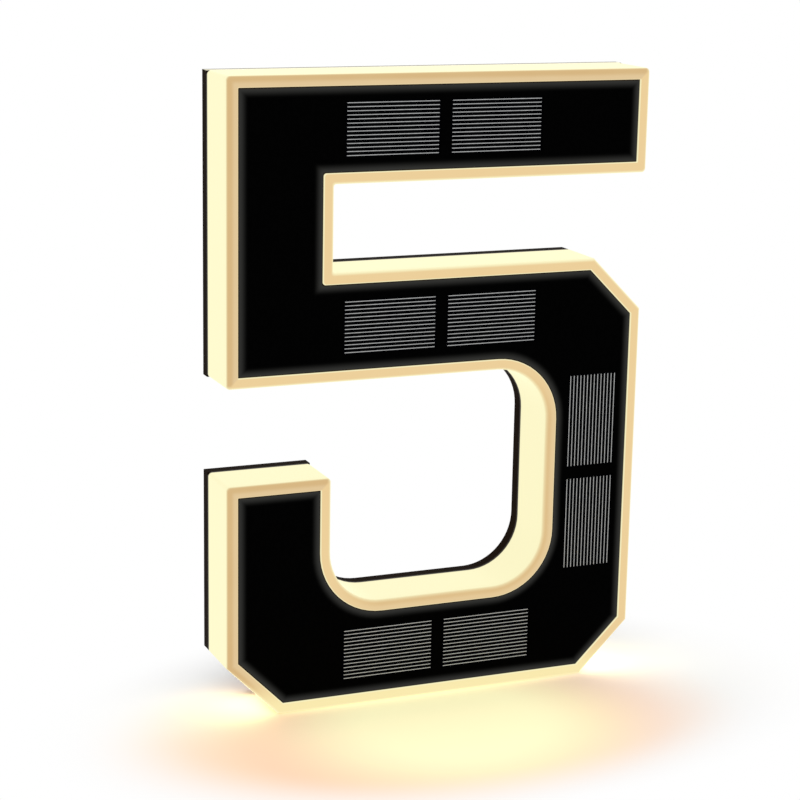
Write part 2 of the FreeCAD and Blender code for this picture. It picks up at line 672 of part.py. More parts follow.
# ---- screws ----
def screw(x, z, seat, head_r, head_h, shank_r, length):
    """Pan head outside the seat, and a plain shank at the thread's envelope inside it."""
    rim = seat + head_h * 3 / 4
    return joined([faceted(x, z, shank_r, seat - length, seat, 0),
                   faceted(x, z, head_r, seat, rim, 0),
                   faceted(x, z, head_r, rim, seat + head_h, head_h / 4)])


def assembly_screws():
    return Part.makeCompound([screw(x, z, HEAD_SEAT, HEAD_R, HEAD_H, SCREW_R, SCREW_L)
                              for x, z in SCREW_AT])


def board_screws():
    head_r = 2 * BOARD_SCREW_R
    return Part.makeCompound([screw(x, z, BOARD_BACK, head_r, head_r * 0.7, BOARD_SCREW_R,
                                    BOARD_SCREW_L) for x, z in BOARD_SCREW_AT])


SHAPES = {
    "diffuser_shell": diffuser_shell,
    "back_plate": back_plate,
    "rear_seal": rear_seal,
    "solar_panel": solar_panel,
    "cell_fingers": cell_fingers,
    "panel_tape": panel_tape,
    "light_board": light_board,
    "side_lamps": side_lamps,
    "battery_cell": battery_cell,
    "battery_clip_plus": battery_clip_plus,
    "battery_clip_minus": battery_clip_minus,
    "battery_cradle": battery_cradle,
    "controller_chip": controller_chip,
    "boost_inductor": boost_inductor,
    "capacitors": capacitors,
    "resistors": resistors,
    "lead_socket": lead_socket,
    "lead_plug": lead_plug,
    "solar_leads": solar_leads,
    "power_button": power_button,
    "button_ring": button_ring,
    "switch_plunger": switch_plunger,
    "switch_body": switch_body,
    "assembly_screws": assembly_screws,
    "board_screws": board_screws,
}

os.makedirs("parts", exist_ok=True)
for name, make in SHAPES.items():
    make().exportStep("parts/" + name + ".step")
for cell in CELL_AT:
    solar_cell(cell).exportStep("parts/solar_cell_" + cell[0] + ".step")
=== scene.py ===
import math

import bmesh
import bpy
import numpy as np
from mathutils import Matrix, Vector
from mathutils.geometry import delaunay_2d_cdt


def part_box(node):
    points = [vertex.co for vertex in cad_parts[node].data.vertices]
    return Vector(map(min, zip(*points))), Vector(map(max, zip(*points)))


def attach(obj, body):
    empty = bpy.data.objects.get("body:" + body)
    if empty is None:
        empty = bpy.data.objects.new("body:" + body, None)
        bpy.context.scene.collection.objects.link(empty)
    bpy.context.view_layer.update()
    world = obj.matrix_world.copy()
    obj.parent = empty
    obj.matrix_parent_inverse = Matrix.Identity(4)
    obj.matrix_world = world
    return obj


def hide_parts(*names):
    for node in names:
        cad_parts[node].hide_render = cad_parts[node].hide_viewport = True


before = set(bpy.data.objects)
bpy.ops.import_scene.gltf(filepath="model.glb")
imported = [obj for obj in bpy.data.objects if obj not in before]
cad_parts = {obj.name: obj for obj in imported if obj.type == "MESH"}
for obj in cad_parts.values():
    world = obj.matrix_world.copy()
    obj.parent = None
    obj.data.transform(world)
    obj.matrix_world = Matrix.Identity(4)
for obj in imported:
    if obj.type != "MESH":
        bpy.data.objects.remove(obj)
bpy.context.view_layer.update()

scene = bpy.context.scene

# ---------------------------------------------------------------- camera
# A long lens from the left and a little above, as the sign was photographed. Its place and its
# three angles were fitted to the corners of the sign.
EYE = Vector((-0.26905, -0.61964, 0.25814))
AZIMUTH = math.radians(22.80)      # to the right of +Y
LOOK_DOWN = math.radians(13.58)
ROLL = math.radians(1.04)
LENS_MM, SENSOR_MM = 98.1, 36.0
FARTHEST = 50

ahead = Vector((math.sin(AZIMUTH) * math.cos(LOOK_DOWN),
                math.cos(AZIMUTH) * math.cos(LOOK_DOWN), -math.sin(LOOK_DOWN)))
level = Vector((math.cos(AZIMUTH), -math.sin(AZIMUTH), 0))
above = level.cross(ahead)
right = level * math.cos(ROLL) + above * math.sin(ROLL)
up = above * math.cos(ROLL) - level * math.sin(ROLL)
camera = bpy.data.objects.new("camera", bpy.data.cameras.new("camera"))
camera.data.lens, camera.data.sensor_width = LENS_MM, SENSOR_MM
camera.data.sensor_fit = "HORIZONTAL"
camera.data.clip_end = FARTHEST
camera.matrix_world = Matrix((right, up, -ahead)).transposed().to_4x4()
camera.location = EYE
scene.collection.objects.link(camera)
scene.camera = camera
scene.view_settings.view_transform = "Standard"

# ---------------------------------------------------------------- studio: world, lamp and floor
# White surround with one broad soft lamp. The floor is matt white paper, which takes the sign's
# shadow and its warm glow, and gives way to plain white further out. Warm pools of light round
# the sign's foot are also painted on it, in its colour and as light it gives off itself.
AMBIENT = 0.95
SOFTBOX_W, SOFTBOX_SIDE = 5.0, 0.9
SOFTBOX_AT, SOFTBOX_AIM = Vector((-0.9, -1.1, 1.3)), Vector((0, 0, 0.1))
FLOOR_SIDE, FLOOR_DROP = 30.0, 0.0001
WHITE, BLACK = (1, 1, 1, 1), (0, 0, 0, 1)
# The peach colour is painted warm light on the paper; the two glows are painted light that the
# floor gives off itself.
PAPER, PAINTED_PEACH = (0.95, 0.95, 0.95, 1), (0.95, 0.77, 0.55, 1)
PAINTED_PEACH_GLOW, PAINTED_YELLOW_GLOW = (0.15, 0, 0, 1), (0.27, 0.35, 0.17, 1)
# Ellipses on the floor: a centre, two radii, and the band of the way out over which each fades.
# The first two are painted pools of warm light.
PAINTED_PEACH_POOL = ((-0.016, -0.040), (0.104, 0.070), (0.5, 1.1))     # all round the sign's foot
PAINTED_YELLOW_POOL = ((-0.004, -0.036), (0.070, 0.064), (0.35, 1.0))   # in front of the bottom bar
SHADED = ((0.0, -0.02), (0.135, 0.085), (0.63, 1.0))            # where shading gives way to white


def srgb(red, green, blue):
    """Linear colour, with alpha, from 0 to 255 display values."""
    c = np.array([red, green, blue]) / 255
    c = np.where(c <= 0.04045, c / 12.92, ((c + 0.055) / 1.055) ** 2.4)
    return (*c.tolist(), 1.0)


def join(tree, socket, value):
    """Sets a socket from a number, a colour, an output or a Value."""
    if isinstance(value, Value):
        value = value.socket
    if isinstance(value, bpy.types.NodeSocket):
        tree.links.new(value, socket)
    else:
        socket.default_value = value


def add_node(tree, kind, settings=None, **inputs):
    """Any node: its settings first, then its sockets (spaces written as underscores)."""
    node = tree.nodes.new(kind)
    for name, value in (settings or {}).items():
        setattr(node, name, value)
    for name, value in inputs.items():
        join(tree, node.inputs[name.replace("_", " ")], value)
    return node


class Value:
    """A number in a shader; arithmetic on it adds Math nodes."""

    def __init__(self, tree, socket):
        self.tree, self.socket = tree, socket

    def math(self, operation, *values):
        """The result of one Math node on these values."""
        node = add_node(self.tree, "ShaderNodeMath", {"operation": operation})
        for socket, value in zip(node.inputs, values):
            join(self.tree, socket, value)
        return Value(self.tree, node.outputs[0])

    def __add__(self, other):
        return self.math("ADD", self, other)

    def __sub__(self, other):
        return self.math("SUBTRACT", self, other)

    def __rsub__(self, other):
        return self.math("SUBTRACT", other, self)

    def __mul__(self, other):
        return self.math("MULTIPLY", self, other)

    def __truediv__(self, other):
        return self.math("DIVIDE", self, other)

    def __pow__(self, other):
        return self.math("POWER", self, other)

    def __gt__(self, other):
        return self.math("GREATER_THAN", self, other)

    def __or__(self, other):
        return self.math("MAXIMUM", self, other)

    __radd__, __rmul__ = __add__, __mul__

    def ramp(self, start, end):
        """0 at start, 1 at end, eased between."""
        node = add_node(self.tree, "ShaderNodeMapRange", {"interpolation_type": "SMOOTHSTEP"},
                        Value=self, From_Min=start, From_Max=end)
        return Value(self.tree, node.outputs[0])


class Finish:
    """One material round a Principled shader; what varies is written as expressions."""

    def __init__(self, name, **fixed):
        self.material = bpy.data.materials.new(name)
        self.material.use_nodes = True
        self.tree = self.material.node_tree
        self.shader = self.tree.nodes["Principled BSDF"]
        self.feed(**fixed)
        self.object = self.add("ShaderNodeTexCoord").outputs["Object"]

    def add(self, kind, settings=None, **inputs):
        return add_node(self.tree, kind, settings, **inputs)

    def feed(self, **inputs):
        """Sets or links sockets of the shader itself."""
        for name, value in inputs.items():
            join(self.tree, self.shader.inputs[name.replace("_", " ")], value)

    def axis(self, letter):
        """One coordinate of the piece, in metres."""
        parts = self.add("ShaderNodeSeparateXYZ", Vector=self.object)
        return Value(self.tree, parts.outputs[letter])

    def along(self, attribute):
        """A number stored on the piece's points."""
        node = self.add("ShaderNodeAttribute", {"attribute_name": attribute})
        return Value(self.tree, node.outputs["Fac"])

    def noise(self, scale, detail=2.0):
        """Smooth noise round 0.5 that turns about scale times in each metre."""
        node = self.add("ShaderNodeTexNoise", Vector=self.object, Scale=scale, Detail=detail)
        return Value(self.tree, node.outputs["Fac"])

    def mix(self, factor, a, b):
        """Colour a where the factor is 0 and b where it is 1."""
        node = self.add("ShaderNodeMix", {"data_type": "RGBA"})
        # Its sockets for colours: 0 the factor, 6 and 7 the two colours, and 2 the mixed one.
        for index, value in ((0, factor), (6, a), (7, b)):
            join(self.tree, node.inputs[index], value)
        return node.outputs[2]

    def mottle(self, dark, pale, scale, detail=2.0):
        """A colour that wanders between two display colours with a noise of this scale."""
        return self.mix(self.noise(scale, detail), srgb(*dark), srgb(*pale))

    def bump(self, height, distance, strength):
        """Normal from a height of 0 to 1 that stands for this distance in metres."""
        node = self.add("ShaderNodeBump", Height=height, Distance=distance, Strength=strength)
        self.feed(Normal=node.outputs[0])


def seen_rays(tree):
    """1 for rays that show the surround: straight from the camera, mirrored or let through."""
    path = add_node(tree, "ShaderNodeLightPath")
    direct, mirrored, through = (Value(tree, path.outputs[name]) for name in (
        "Is Camera Ray", "Is Glossy Ray", "Is Transmission Ray"))
    return direct | mirrored | through


world = bpy.data.worlds.new("surround")
world.use_nodes = True
scene.world = world
sky = world.node_tree.nodes["Background"]
sky.inputs["Color"].default_value = WHITE
seen = seen_rays(world.node_tree)
join(world.node_tree, sky.inputs["Strength"], AMBIENT + (1 - AMBIENT) * seen)

softbox = bpy.data.objects.new("softbox", bpy.data.lights.new("softbox", "AREA"))
softbox.data.energy, softbox.data.size = SOFTBOX_W, SOFTBOX_SIDE
softbox.location = SOFTBOX_AT
softbox.rotation_euler = (SOFTBOX_AIM - SOFTBOX_AT).to_track_quat("-Z", "Y").to_euler()
scene.collection.objects.link(softbox)

half = FLOOR_SIDE / 2
floor_mesh = bpy.data.meshes.new("floor")
floor_mesh.from_pydata([(x, y, -FLOOR_DROP) for x, y in
                        ((-half, -half), (half, -half), (half, half), (-half, half))],
                       [], [(0, 1, 2, 3)])
floor = bpy.data.objects.new("floor", floor_mesh)
scene.collection.objects.link(floor)
paper = Finish("floor_paper_painted_glow", Roughness=0.6, Specular_IOR_Level=0.1, Emission_Strength=1.0)


def beyond(at, radii, band):
    """0 inside an ellipse on the floor and 1 outside, eased over a band of sqrt(u*u + v*v)."""
    u = (paper.axis("X") - at[0]) / radii[0]
    v = (paper.axis("Y") - at[1]) / radii[1]
    return ((u * u + v * v) ** 0.5).ramp(*band)


# Painted pools of warm light: round the sign's foot the paper turns peach and glows, pale yellow
# in front of the bottom bar.
painted_peach, painted_yellow = 1 - beyond(*PAINTED_PEACH_POOL), 1 - beyond(*PAINTED_YELLOW_POOL)
painted_warmth = paper.mix(painted_peach, BLACK, PAINTED_PEACH_GLOW)
paper.feed(Base_Color=paper.mix(painted_peach, PAPER, PAINTED_PEACH),
           Emission_Color=paper.mix(painted_yellow, painted_warmth, PAINTED_YELLOW_GLOW))
plain_white = paper.add("ShaderNodeEmission", Color=WHITE, Strength=1.0)
blend = paper.add("ShaderNodeMixShader")
for socket, value in zip(blend.inputs, (seen_rays(paper.tree) * beyond(*SHADED),
                                        paper.shader.outputs[0], plain_white.outputs[0])):
    join(paper.tree, socket, value)
join(paper.tree, paper.tree.nodes["Material Output"].inputs["Surface"], blend.outputs[0])
floor_mesh.materials.append(paper.material)

# ---------------------------------------------------------------- diffuser shell
# Milky polycarbonate moulding: bright side walls, a duller rim with a rounded edge round the
# panel's pocket, and an open back that the plate closes. Its lamps make it glow from inside.
# The rim's colour also holds painted light and shade: lighter runs, highlights at its edges,
# light from the floor at its foot, and shadows at the plate and in the panel's gap.
shell_low, shell_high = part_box("diffuser_shell")
# Widths of the digit's strokes: most of them, the top bar, and the right side of the bowl
STROKE, TOP_BAR, BOWL_SIDE = 0.034, 0.033, 0.0325
# Corners: the cut ones and the bowl's round ones; then the plain ones, at the wall and at the
# pocket, and those of the notch
CORNER_CUT, HOLLOW_R = 0.017, 0.0175
MOULD_R, CRISP_R, NOTCH_R = 0.0012, 0.0003, 0.0009
# The notch's share of the height between the bars, and the mouth's share of the bowl's height
NOTCH_SHARE, MOUTH_SHARE = 0.2727, 0.4236
RIM, RIM_ROUND, LIP_ROUND = 0.0035, 0.0013, 0.0002
WALL, WALL_FRONT = 0.0022, 0.0026  # thickness at the plate and at the front
POCKET_DEPTH, POCKET_FLOOR = 0.0022, 0.0016
# Rings of points between the corners of the profile: across the rim's flat front, as insets,
# on the pocket's wall, above its floor, and on the outer wall, behind the front
RIM_FLAT, POCKET_RING, WALL_RING = (0.0028, 0.0021), 0.0002, 0.004
CORNER_STEPS, ROUND_STEPS, LIP_STEPS = 14, 6, 3
PLAIN, NOTCH, CUT, HOLLOW = range(4)
SAME_POINT, SHARP_ANGLE = 1e-7, math.radians(30)
# Painted light of the rim along the run after each corner, by how the run faces the light:
# 0 on the left and top, some in the bowl.
RUN_LIGHT = np.array((0, 1, 1, 1, 1, 1, 1, 0, 0, 1, 0.4, 0.4, 1, 0))
CUTS_AT_FLOOR = slice(6, 8)        # the two cut corners beside the floor, in that order
SIDE_GLOW = srgb(255, 249, 202)
RIM_OUTER, RIM_INNER = srgb(217, 182, 128), srgb(228, 199, 152)
RIM_LIT = srgb(240, 209, 154)
# The first is painted light from the floor at the rim's foot; the second is the lamps' glow
# through the cut corners.
PAINTED_FOOT_LIGHT, UNDER = srgb(254, 238, 178), srgb(255, 241, 190)
# Painted shade for the shadows at the plate and in the panel's gap.
SEAM_SHADE = srgb(30, 20, 12)
# Bands across the rim, from 0 at the wall to 1 at the pocket; GAP_AT is the pocket's own wall.
OUTER_BAND, INNER_BAND, LIP_BAND, GAP_AT = (0.0, 0.3), (0.3, 0.75), (0.90, 0.95), 0.995
# Painted highlight on the lip: its strength on an unlit run, and what the run's light adds to it.
LIP_DIM, LIP_GAIN, CLOUDING = 0.25, 0.6, 0.10
# Painted light: the rim turns from its plain tan to the lit colour as the run's painted light
# rises.
LIT_RUN = (0.1, 0.9)               # light of a run at which the rim is plain tan and fully lit
# Painted light: the rim's foot is painted paler, as lit from the floor, up to this height.
FOOT_Z = (0.002, 0.012)            # height over which the floor's light leaves the rim
FRONT_SKIN, GAP_END = 0.0003, 0.0007                 # depths behind the rim's front
SEAM_SHADE_FROM, SEAM_SHADE_TO = 0.0012, 0.0007                  # depths in front of the plate
TOP_FROM, TOP_TO = 0.00006, 0.00002                  # depths below the uppermost face
LIT_SHARE, GLOW = 0.08, 0.87       # shares of the seen colour from outside light and lamps
UNDER_GAIN = 4.2                   # lamps shine hardest through the cut corners near the floor


def digit_outline(inset):
    """Points (x, z) of the digit's outline moved inwards, clockwise from the top left.

    Each corner is a quarter circle from its start to its end, with centre c - come*s + go*s
    for a corner c, a radius s and the directions of arriving and leaving; a cut corner runs
    straight between the same two ends. A plain corner sharpens from the wall to the pocket."""
    left, wide, tall = shell_low.x, shell_high.x, shell_high.z
    stem, bowl = left + STROKE, wide - BOWL_SIDE
    free = tall - TOP_BAR - 2 * STROKE
    mid_low = STROKE + free * (1 - NOTCH_SHARE)
    mid_top = mid_low + STROKE
    hook = STROKE + free * (1 - NOTCH_SHARE) * (1 - MOUTH_SHARE)
    corners = np.array([
        (left, tall, PLAIN), (wide, tall, PLAIN), (wide, tall - TOP_BAR, PLAIN),
        (stem, tall - TOP_BAR, NOTCH), (stem, mid_top, NOTCH), (wide, mid_top, CUT),
        (wide, 0, CUT), (left, 0, CUT), (left, hook, PLAIN), (stem, hook, PLAIN),
        (stem, STROKE, HOLLOW), (bowl, STROKE, HOLLOW), (bowl, mid_low, HOLLOW),
        (left, mid_low, PLAIN)])
    at, kind = corners[:, :2], corners[:, 2:]
    come = at - np.roll(at, 1, 0)
    come /= np.linalg.norm(come, axis=1, keepdims=True)
    go = np.roll(come, -1, 0)
    at = at + inset * np.stack([come[:, 1] + go[:, 1], -come[:, 0] - go[:, 0]], 1)
    plain = max(MOULD_R + (CRISP_R - MOULD_R) * inset / RIM, CRISP_R)
    size = np.choose(kind.astype(int), (plain, NOTCH_R,
                                        CORNER_CUT - inset * (2 - math.sqrt(2)),
                                        HOLLOW_R + inset))
    turn = np.linspace(0, math.pi / 2, CORNER_STEPS + 1)[None, :, None]
    at, come, go, size, kind = (a[:, None, :] for a in (at, come, go, size, kind))
    arc = at - come * size + go * size + size * (come * np.sin(turn) - go * np.cos(turn))
    start, end = at - come * size, at + go * size
    straight = start + (end - start) * turn / (math.pi / 2)
    return np.where(kind == CUT, straight, arc).reshape(-1, 2)


def ring_at(inset, y):
    """The outline as 3-D points in the plane at y."""
    flat = digit_outline(inset)
    return np.stack([flat[:, 0], np.full(len(flat), y), flat[:, 1]], 1)


def ring_faces(count, around):
    """Quads between each two successive rings of a stack of closed rings."""
    i, j = np.meshgrid(np.arange(count - 1), np.arange(around), indexing="ij")
    a, b = i * around + j, i * around + (j + 1) % around
    return np.stack([a, b, b + around, a + around], -1).reshape(-1, 4).tolist()


def lid(loops, numbers):
    """Triangles over a flat outline, the first loop, with a hole at each later, square one.

    numbers holds the place in the mesh of each point of the loops."""
    edges, done = [], 0
    for loop in loops:
        edges += [(done + k, done + (k + 1) % len(loop)) for k in range(len(loop))]
        done += len(loop)
    flat = [Vector((x, z)) for x, _, z in np.concatenate(loops)]
    points, _, triangles, source, _, _ = delaunay_2d_cdt(flat, edges, [], 1, SAME_POINT)
    kept = []
    for triangle in triangles:
        middle = sum((points[k] for k in triangle), Vector((0, 0))) / 3
        if not any(hole[:, 0].min() < middle.x < hole[:, 0].max()
                   and hole[:, 2].min() < middle.y < hole[:, 2].max() for hole in loops[1:]):
            kept.append([int(numbers[source[k][0]]) for k in triangle])
    return kept


def mesh_piece(name, points, faces):
    """A closed piece from points and faces, all turned outwards."""
    mesh = bpy.data.meshes.new(name)
    mesh.from_pydata(points.tolist(), [], faces)
    shape = bmesh.new()
    shape.from_mesh(mesh)
    bmesh.ops.recalc_face_normals(shape, faces=shape.faces)
    shape.to_mesh(mesh)
    shape.free()
    mesh.shade_smooth()
    mesh.set_sharp_from_angle(angle=SHARP_ANGLE)
    piece = bpy.data.objects.new(name, mesh)
    scene.collection.objects.link(piece)
    return piece


def give(piece, name, values):
    """Stores one number for each point of a piece."""
    layer = piece.data.attributes.new(name, "FLOAT", "POINT")
    layer.data.foreach_set("value", np.asarray(values, np.float32))


def uppermost(finish, top):
    """1 on the face at this height, the highest of its piece, and 0 below it."""
    return finish.axis("Z").ramp(top - TOP_FROM, top - TOP_TO)


def shell_profile():
    """(inset, y) from the pocket's floor over the rim and down the wall, then up inside.

    Both rounds are quarter circles: r - r*sin(a) across and r - r*cos(a) back."""
    front, seat = shell_low.y, shell_high.y
    pocket = front + POCKET_DEPTH

    def quarter(radius, angles):
        return [(radius * (1 - math.sin(a)), front + radius * (1 - math.cos(a))) for a in angles]

    lip = quarter(LIP_ROUND, np.linspace(math.pi / 2, 0, LIP_STEPS + 1))
    outer = quarter(RIM_ROUND, np.linspace(0, math.pi / 2, ROUND_STEPS + 1))
    return np.array(
        [(RIM, pocket), (RIM, pocket - POCKET_RING)]
        + [(RIM - across, y) for across, y in lip]
        + [(inset, front) for inset in RIM_FLAT]
        + outer
        + [(0, front + WALL_RING), (0, (front + seat) / 2), (0, seat), (WALL, seat),
           (WALL_FRONT, pocket + POCKET_FLOOR)])


profile = shell_profile()
rings = [ring_at(inset, y) for inset, y in profile]
around = len(rings[0])
# The stack of rings is closed by the pocket's floor in front and its back face inside.
shell_faces = ring_faces(len(rings), around)
shell_faces += lid([rings[0]], np.arange(around))
shell_faces += lid([rings[-1]], np.arange(around) + (len(rings) - 1) * around)
shell = mesh_piece("diffuser_glow", np.concatenate(rings), shell_faces)
give(shell, "inset", np.repeat(profile[:, 0] / RIM, around))
turn = np.linspace(0, 1, CORNER_STEPS + 1)
run_light = np.roll(RUN_LIGHT, 1)[:, None] * (1 - turn) + RUN_LIGHT[:, None] * turn
give(shell, "run_light", np.tile(run_light.ravel(), len(rings)))
# sin(pi*t) along the outer wall of the two cut corners beside the floor, which face down
low_cut = np.zeros((len(RUN_LIGHT), CORNER_STEPS + 1))
low_cut[CUTS_AT_FLOOR] = np.sin(math.pi * turn)
give(shell, "low_cut", (np.tile(low_cut.ravel(), (len(rings), 1))
                        * (profile[:, :1] == 0)).ravel())
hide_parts("diffuser_shell")
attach(shell, "sign")

milk = Finish("milky_diffuser", Roughness=0.42, Specular_IOR_Level=0.1,
              Emission_Strength=GLOW * UNDER_GAIN)
across, light, depth = milk.along("inset"), milk.along("run_light"), milk.axis("Y")
rim = milk.mix(across.ramp(*INNER_BAND), RIM_OUTER, RIM_INNER)
# Painted light: the runs that face the light are painted in the lit colour.
rim = milk.mix(light.ramp(*LIT_RUN), rim, RIM_LIT)
# Painted light from the floor on the rim's lowest part.
rim = milk.mix(1 - milk.axis("Z").ramp(*FOOT_Z), rim, PAINTED_FOOT_LIGHT)
rim = milk.mix(milk.noise(60.0, 3.0) * CLOUDING, rim, SIDE_GLOW)
# Painted highlights: a bright line at the lip round the pocket, and a bright band at the rim's
# outer edge on the lit runs.
painted_lip_highlight = across.ramp(*LIP_BAND) * (LIP_DIM + LIP_GAIN * light)
painted_edge_highlight = (1 - across.ramp(*OUTER_BAND)) * light
rim = milk.mix(painted_lip_highlight | painted_edge_highlight, rim, SIDE_GLOW)
face = 1 - depth.ramp(shell_low.y + FRONT_SKIN, shell_low.y + RIM_ROUND)
glow = milk.mix(face, SIDE_GLOW, rim)
# Painted shadows: the one at the plate, left out on the uppermost face, and the one in the
# panel's gap
seam_shade = depth.ramp(shell_high.y - SEAM_SHADE_FROM, shell_high.y - SEAM_SHADE_TO)
seam_shade = seam_shade * (1 - uppermost(milk, shell_high.z))
gap_shade = (across > GAP_AT) * depth.ramp(shell_low.y + FRONT_SKIN, shell_low.y + GAP_END)
glow = milk.mix(seam_shade | gap_shade, glow, SEAM_SHADE)
dimmed = milk.mix(1 / UNDER_GAIN, BLACK, glow)
milk.feed(Base_Color=milk.mix(LIT_SHARE, BLACK, glow),
          Emission_Color=milk.mix(milk.along("low_cut"), dimmed, UNDER))
milk.bump(milk.noise(2200.0), 0.00002, 0.3)
shell.data.materials.append(milk.material)

# ---------------------------------------------------------------- solar panel
# Black glossy laminate set in the rim, with a recess for each cell. A painted glow, standing for
# light from the rim leaking into the laminate's edge, fades within about 3 mm.
panel_low, panel_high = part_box("solar_panel")
PANEL_INSET = panel_low.x - shell_low.x
CELL_SEAT = 0.00015
EDGE_BEVEL = 0.0002
RING_STEPS = (0.0003, 0.0008, 0.0013, 0.0019, 0.0025, 0.003, 0.0036)
# In shares of the outermost 3.6 mm: the painted glow's thin brown line at the edge and its
# painted leak, which falls off by this power
LINE_BAND, LEAK_BAND, LEAK_FALL = (0.0, 0.06), (0.02, 0.95), 1.8
# Colours of the painted glow at the laminate's edge.
LEAK_GLOW_LINE, LEAK_GLOW_GREY = srgb(34, 24, 14), srgb(50, 50, 48)
CELL_NAMES = sorted(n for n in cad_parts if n.startswith("solar_cell_"))

face_y, under_y = panel_low.y, panel_high.y
steps = [(PANEL_INSET, under_y), (PANEL_INSET, face_y + EDGE_BEVEL),
         (PANEL_INSET + EDGE_BEVEL, face_y)]
steps += [(PANEL_INSET + d, face_y) for d in RING_STEPS]
rings = [ring_at(inset, y) for inset, y in steps]
panel_points = np.concatenate(rings)
panel_faces = ring_faces(len(rings), around)
panel_faces += lid([rings[0]], np.arange(around))
loops, numbers = [rings[-1]], [np.arange(around) + (len(rings) - 1) * around]
for cell in CELL_NAMES:
    low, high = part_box(cell)
    x0, x1 = low.x - CELL_SEAT, high.x + CELL_SEAT
    z0, z1 = low.z - CELL_SEAT, high.z + CELL_SEAT
    square = ((x0, z0), (x1, z0), (x1, z1), (x0, z1))
    pit = np.array([(x, y, z) for y in (face_y, high.y) for x, z in square])
    number = len(panel_points) + np.arange(len(pit))
    panel_points = np.concatenate([panel_points, pit])
    panel_faces += [number[[k, (k + 1) % 4, 4 + (k + 1) % 4, 4 + k]].tolist() for k in range(4)]
    panel_faces.append(number[4:].tolist())
    loops.append(pit[:4])
    numbers.append(number[:4])
panel_faces += lid(loops, np.concatenate(numbers))
panel = mesh_piece("panel_laminate", panel_points, panel_faces)
from_edge = np.full(len(panel_points), 1.0)
from_edge[:len(rings) * around] = np.repeat(
    [(inset - PANEL_INSET) / RING_STEPS[-1] for inset, _ in steps], around)
give(panel, "edge", from_edge)
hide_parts("solar_panel")
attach(panel, "sign")

laminate = Finish("black_laminate", Roughness=0.28, Specular_IOR_Level=0.005,
                  Emission_Strength=1.0)
edge = laminate.along("edge")
# Painted glow, given off by the laminate near its edge.
painted_leak = (1 - edge.ramp(*LEAK_BAND)) ** LEAK_FALL
painted_leak = painted_leak * (0.9 + 0.2 * laminate.noise(45.0))
leak_colour = laminate.mix(1 - edge.ramp(*LINE_BAND), LEAK_GLOW_GREY, LEAK_GLOW_LINE)
laminate.feed(Base_Color=laminate.mottle((0, 0, 0), (2, 2, 2), 900.0),
              Emission_Color=laminate.mix(painted_leak, BLACK, leak_colour))
panel.data.materials.append(laminate.material)

# ---------------------------------------------------------------- solar cells and their lines
# Thin black silicon strips in the laminate's recesses. Each has fourteen lines of silver paste,
# printed on its face and fired, that gather its current and stop short of the strip's ends.
LINES, LINE_PITCH, LINE_W, LINE_END = 14, 0.001215, 0.00023, 0.0005


def paint(finish, *names):
    """Gives CAD nodes a finish in their own material slots."""
    for name in names:
        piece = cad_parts[name]
        if not piece.material_slots:
            piece.data.materials.append(finish.material)
        for place in piece.material_slots:
            place.material = finish.material


silicon = Finish("black_silicon", Roughness=0.3, Specular_IOR_Level=0.005)
silicon.feed(Base_Color=silicon.mottle((0, 0, 1), (3, 3, 5), 300.0, 4.0))
paint(silicon, *CELL_NAMES)

line_low, line_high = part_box("cell_fingers")
cube = np.array([(x, y, z) for x in (-1, 1) for y in (-1, 1) for z in (-1, 1)]) / 2
sides = ((0, 1, 3, 2), (4, 6, 7, 5), (0, 4, 5, 1), (2, 3, 7, 6), (0, 2, 6, 4), (1, 5, 7, 3))
line_points, line_faces = [], []
for cell in CELL_NAMES:
    low, high = (np.array(corner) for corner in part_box(cell))
    middle, size = (low + high) / 2, high - low
    middle[1], size[1] = (line_low.y + line_high.y) / 2, line_high.y - line_low.y
    step = np.zeros(3)
    narrow = 0 if size[0] < size[2] else 2
    step[narrow], size[narrow] = LINE_PITCH, LINE_W
    size[2 - narrow] -= 2 * LINE_END
    for i in range(LINES):
        line_faces += [[len(cube) * len(line_points) + k for k in side] for side in sides]
        line_points.append(middle + (i - (LINES - 1) / 2) * step + cube * size)
lines = mesh_piece("printed_lines", np.concatenate(line_points), line_faces)
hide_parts("cell_fingers")
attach(lines, "sign")
silver = Finish("printed_silver", Roughness=0.55, Specular_IOR_Level=0.2)
silver.feed(Base_Color=silver.mottle((136, 138, 138), (184, 186, 186), 900.0, 3.0))
lines.data.materials.append(silver.material)

# ---------------------------------------------------------------- back plate, button and seals
# Black ABS moulding with a fine spark texture, which closes the shell from behind. The satin
# push button sits in a dish in its back; soft rubber seals the button and the plate's groove.
plate = Finish("black_abs", Specular_IOR_Level=0.01)
grain = plate.noise(1800.0, 3.0)
black = plate.mottle((19, 11, 5), (28, 18, 9), 70.0)
# Painted light: the glow that spills over the plate's uppermost edge is painted into its colour
# and fades towards the back, as photographed.
PAINTED_SPILL, PAINTED_SPILL_FROM = srgb(255, 250, 225), 0.001
plate_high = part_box("back_plate")[1]
painted_spill = uppermost(plate, plate_high.z)
painted_spill = painted_spill * (1 - plate.axis("Y").ramp(shell_high.y + PAINTED_SPILL_FROM, plate_high.y))
# The plate's colour turns pale where the painted spill lies.
plate.feed(Base_Color=plate.mix(painted_spill, black, PAINTED_SPILL), Roughness=0.5 + 0.2 * grain)
plate.bump(grain, 0.00004, 0.5)
paint(plate, "back_plate", "battery_cradle")

button = Finish("satin_button")
button.feed(Base_Color=button.mottle((34, 34, 35), (46, 46, 47), 220.0),
            Roughness=0.3 + 0.15 * button.noise(900.0))
paint(button, "power_button")

rubber = Finish("sealing_rubber", Roughness=0.75)
rubber.feed(Base_Color=rubber.mottle((38, 38, 38), (56, 56, 55), 400.0))
rubber.bump(rubber.noise(2500.0), 0.00003, 0.4)
paint(rubber, "button_ring", "rear_seal")

